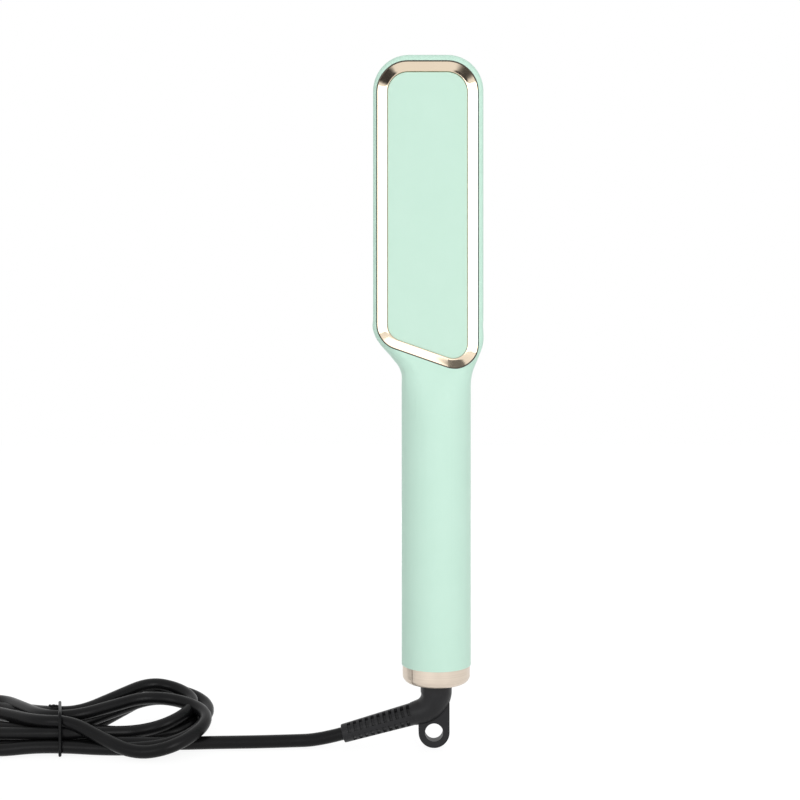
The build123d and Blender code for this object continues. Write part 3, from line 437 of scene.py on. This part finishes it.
def math_node(tree, operation, *values):
    """A Math node on its inputs, each a socket or a number."""
    node = tree.nodes.new("ShaderNodeMath")
    node.operation = operation
    for socket, value in zip(node.inputs, values):
        if isinstance(value, (int, float)):
            socket.default_value = value
        else:
            tree.links.new(value, socket)
    return node.outputs["Value"]


def vector_node(tree, operation, vector, constant):
    """A Vector Math node on a socket and a fixed vector, which gives a number."""
    node = tree.nodes.new("ShaderNodeVectorMath")
    node.operation = operation
    tree.links.new(vector, node.inputs[0])
    node.inputs[1].default_value = constant
    return node.outputs["Value"]


def faded(tree, value, start, end):
    """1 at start, falling smoothly to 0 at end."""
    ranged = tree.nodes.new("ShaderNodeMapRange")
    ranged.interpolation_type = "SMOOTHSTEP"
    ranged.inputs["From Min"].default_value = start
    ranged.inputs["From Max"].default_value = end
    ranged.inputs["To Min"].default_value = 1.0
    ranged.inputs["To Max"].default_value = 0.0
    tree.links.new(value, ranged.inputs["Value"])
    return ranged.outputs["Result"]


def ray_kinds(tree):
    """Two sockets: the first is 1 for camera and glossy rays, the second for glossy rays alone."""
    rays = tree.nodes.new("ShaderNodeLightPath").outputs
    glossy = rays["Is Glossy Ray"]
    return math_node(tree, "MAXIMUM", rays["Is Camera Ray"], glossy), glossy


def reflected(tree, shape, strength, glossy):
    """A faded shape at the given strength, for glossy rays alone."""
    return math_node(tree, "MULTIPLY", math_node(tree, "MULTIPLY", shape, strength), glossy)


def floor_disc(tree, centre, edge):
    """1 round the given place on the floor, fading to 0 between the two radii of the edge."""
    return faded(tree, vector_node(tree, "DISTANCE", place(tree), centre), *edge)


def build_floor():
    mesh = bpy.data.meshes.new("floor")
    corners = [(-floor_half, -floor_half, 0), (floor_half, -floor_half, 0),
               (floor_half, floor_half, 0), (-floor_half, floor_half, 0)]
    mesh.from_pydata(corners, [], [(0, 1, 2, 3)])
    floor = bpy.data.objects.new("floor", mesh)
    floor.location = (0, 0, floor_z * MM - floor_drop)
    bpy.context.scene.collection.objects.link(floor)
    material, tree, shader = new_material("pale_floor")
    shader.inputs["Base Color"].default_value = (0.9, 0.9, 0.9, 1)
    shader.inputs["Roughness"].default_value = 0.9
    shader.inputs["Specular IOR Level"].default_value = 0.0
    seen, glossy = ray_kinds(tree)
    spot = reflected(tree, floor_disc(tree, dark_spot, dark_spot_edge), dark_spot_depth, glossy)
    card = reflected(tree, floor_disc(tree, white_card, white_card_edge), card_white, glossy)
    level = math_node(tree, "ADD", card, floor_white)
    white = tree.nodes.new("ShaderNodeEmission")
    white.inputs["Color"].default_value = (1, 1, 1, 1)
    lit = math_node(tree, "SUBTRACT", 1.0, spot)
    tree.links.new(math_node(tree, "MULTIPLY", lit, level), white.inputs["Strength"])
    mixed = tree.nodes.new("ShaderNodeMixShader")
    tree.links.new(math_node(tree, "MULTIPLY", seen, floor_share), mixed.inputs["Fac"])
    tree.links.new(shader.outputs["BSDF"], mixed.inputs[1])
    tree.links.new(white.outputs["Emission"], mixed.inputs[2])
    tree.links.new(mixed.outputs["Shader"], tree.nodes["Material Output"].inputs["Surface"])
    mesh.materials.append(material)


def build_world():
    world = bpy.data.worlds.new("studio")
    bpy.context.scene.world = world
    world.use_nodes = True
    tree = world.node_tree
    background = tree.nodes["Background"]
    background.inputs["Color"].default_value = (1, 1, 1, 1)
    seen, glossy = ray_kinds(tree)
    bright = math_node(tree, "MULTIPLY_ADD", seen, 1.0 - world_light, world_light)
    direction = tree.nodes.new("ShaderNodeTexCoord").outputs["Generated"]
    flags = [faded(tree, vector_node(tree, "DOT_PRODUCT", direction, Vector(flag).normalized()),
                   *dark_flag_edge)
             for flag in dark_flags]
    dark = reflected(tree, math_node(tree, "MAXIMUM", *flags), dark_flag_depth, glossy)
    lit = math_node(tree, "SUBTRACT", 1.0, dark)
    tree.links.new(math_node(tree, "MULTIPLY", bright, lit), background.inputs["Strength"])


build_floor()
build_world()
area_light("key_right", location=(0.42, -0.95, 0.30), target=(0, 0, 0.10),
           width=0.45, height=0.70, power=3.2)
area_light("fill_left", location=(-0.45, -0.92, 0.28), target=(0, 0, 0.10),
           width=0.32, height=0.62, power=1.25)
# the comb side is out of the photograph's view, and gets a plain soft light of its own
back_light = area_light("back_soft", location=(0.10, 0.95, 0.32), target=(0, 0, 0.08),
                        width=0.60, height=0.60, power=3.2)
back_light.visible_glossy = False

camera_distance = 0.450     # from the handle's axis
camera_x = -0.01574
camera_z = 0.0565
focal_pixels = 1035.0       # focal length in pixels of the 800-pixel frame
camera_data = bpy.data.cameras.new("camera")
camera_data.sensor_width = 36.0
camera_data.lens = focal_pixels / PIXELS * camera_data.sensor_width
camera_data.clip_start = 0.01
camera = bpy.data.objects.new("camera", camera_data)
camera.location = (camera_x, -camera_distance, camera_z)
camera.rotation_euler = (math.radians(90), 0, 0)
bpy.context.scene.collection.objects.link(camera)
bpy.context.scene.camera = camera
bpy.context.scene.view_settings.view_transform = "Standard"

bpy.context.view_layer.update()
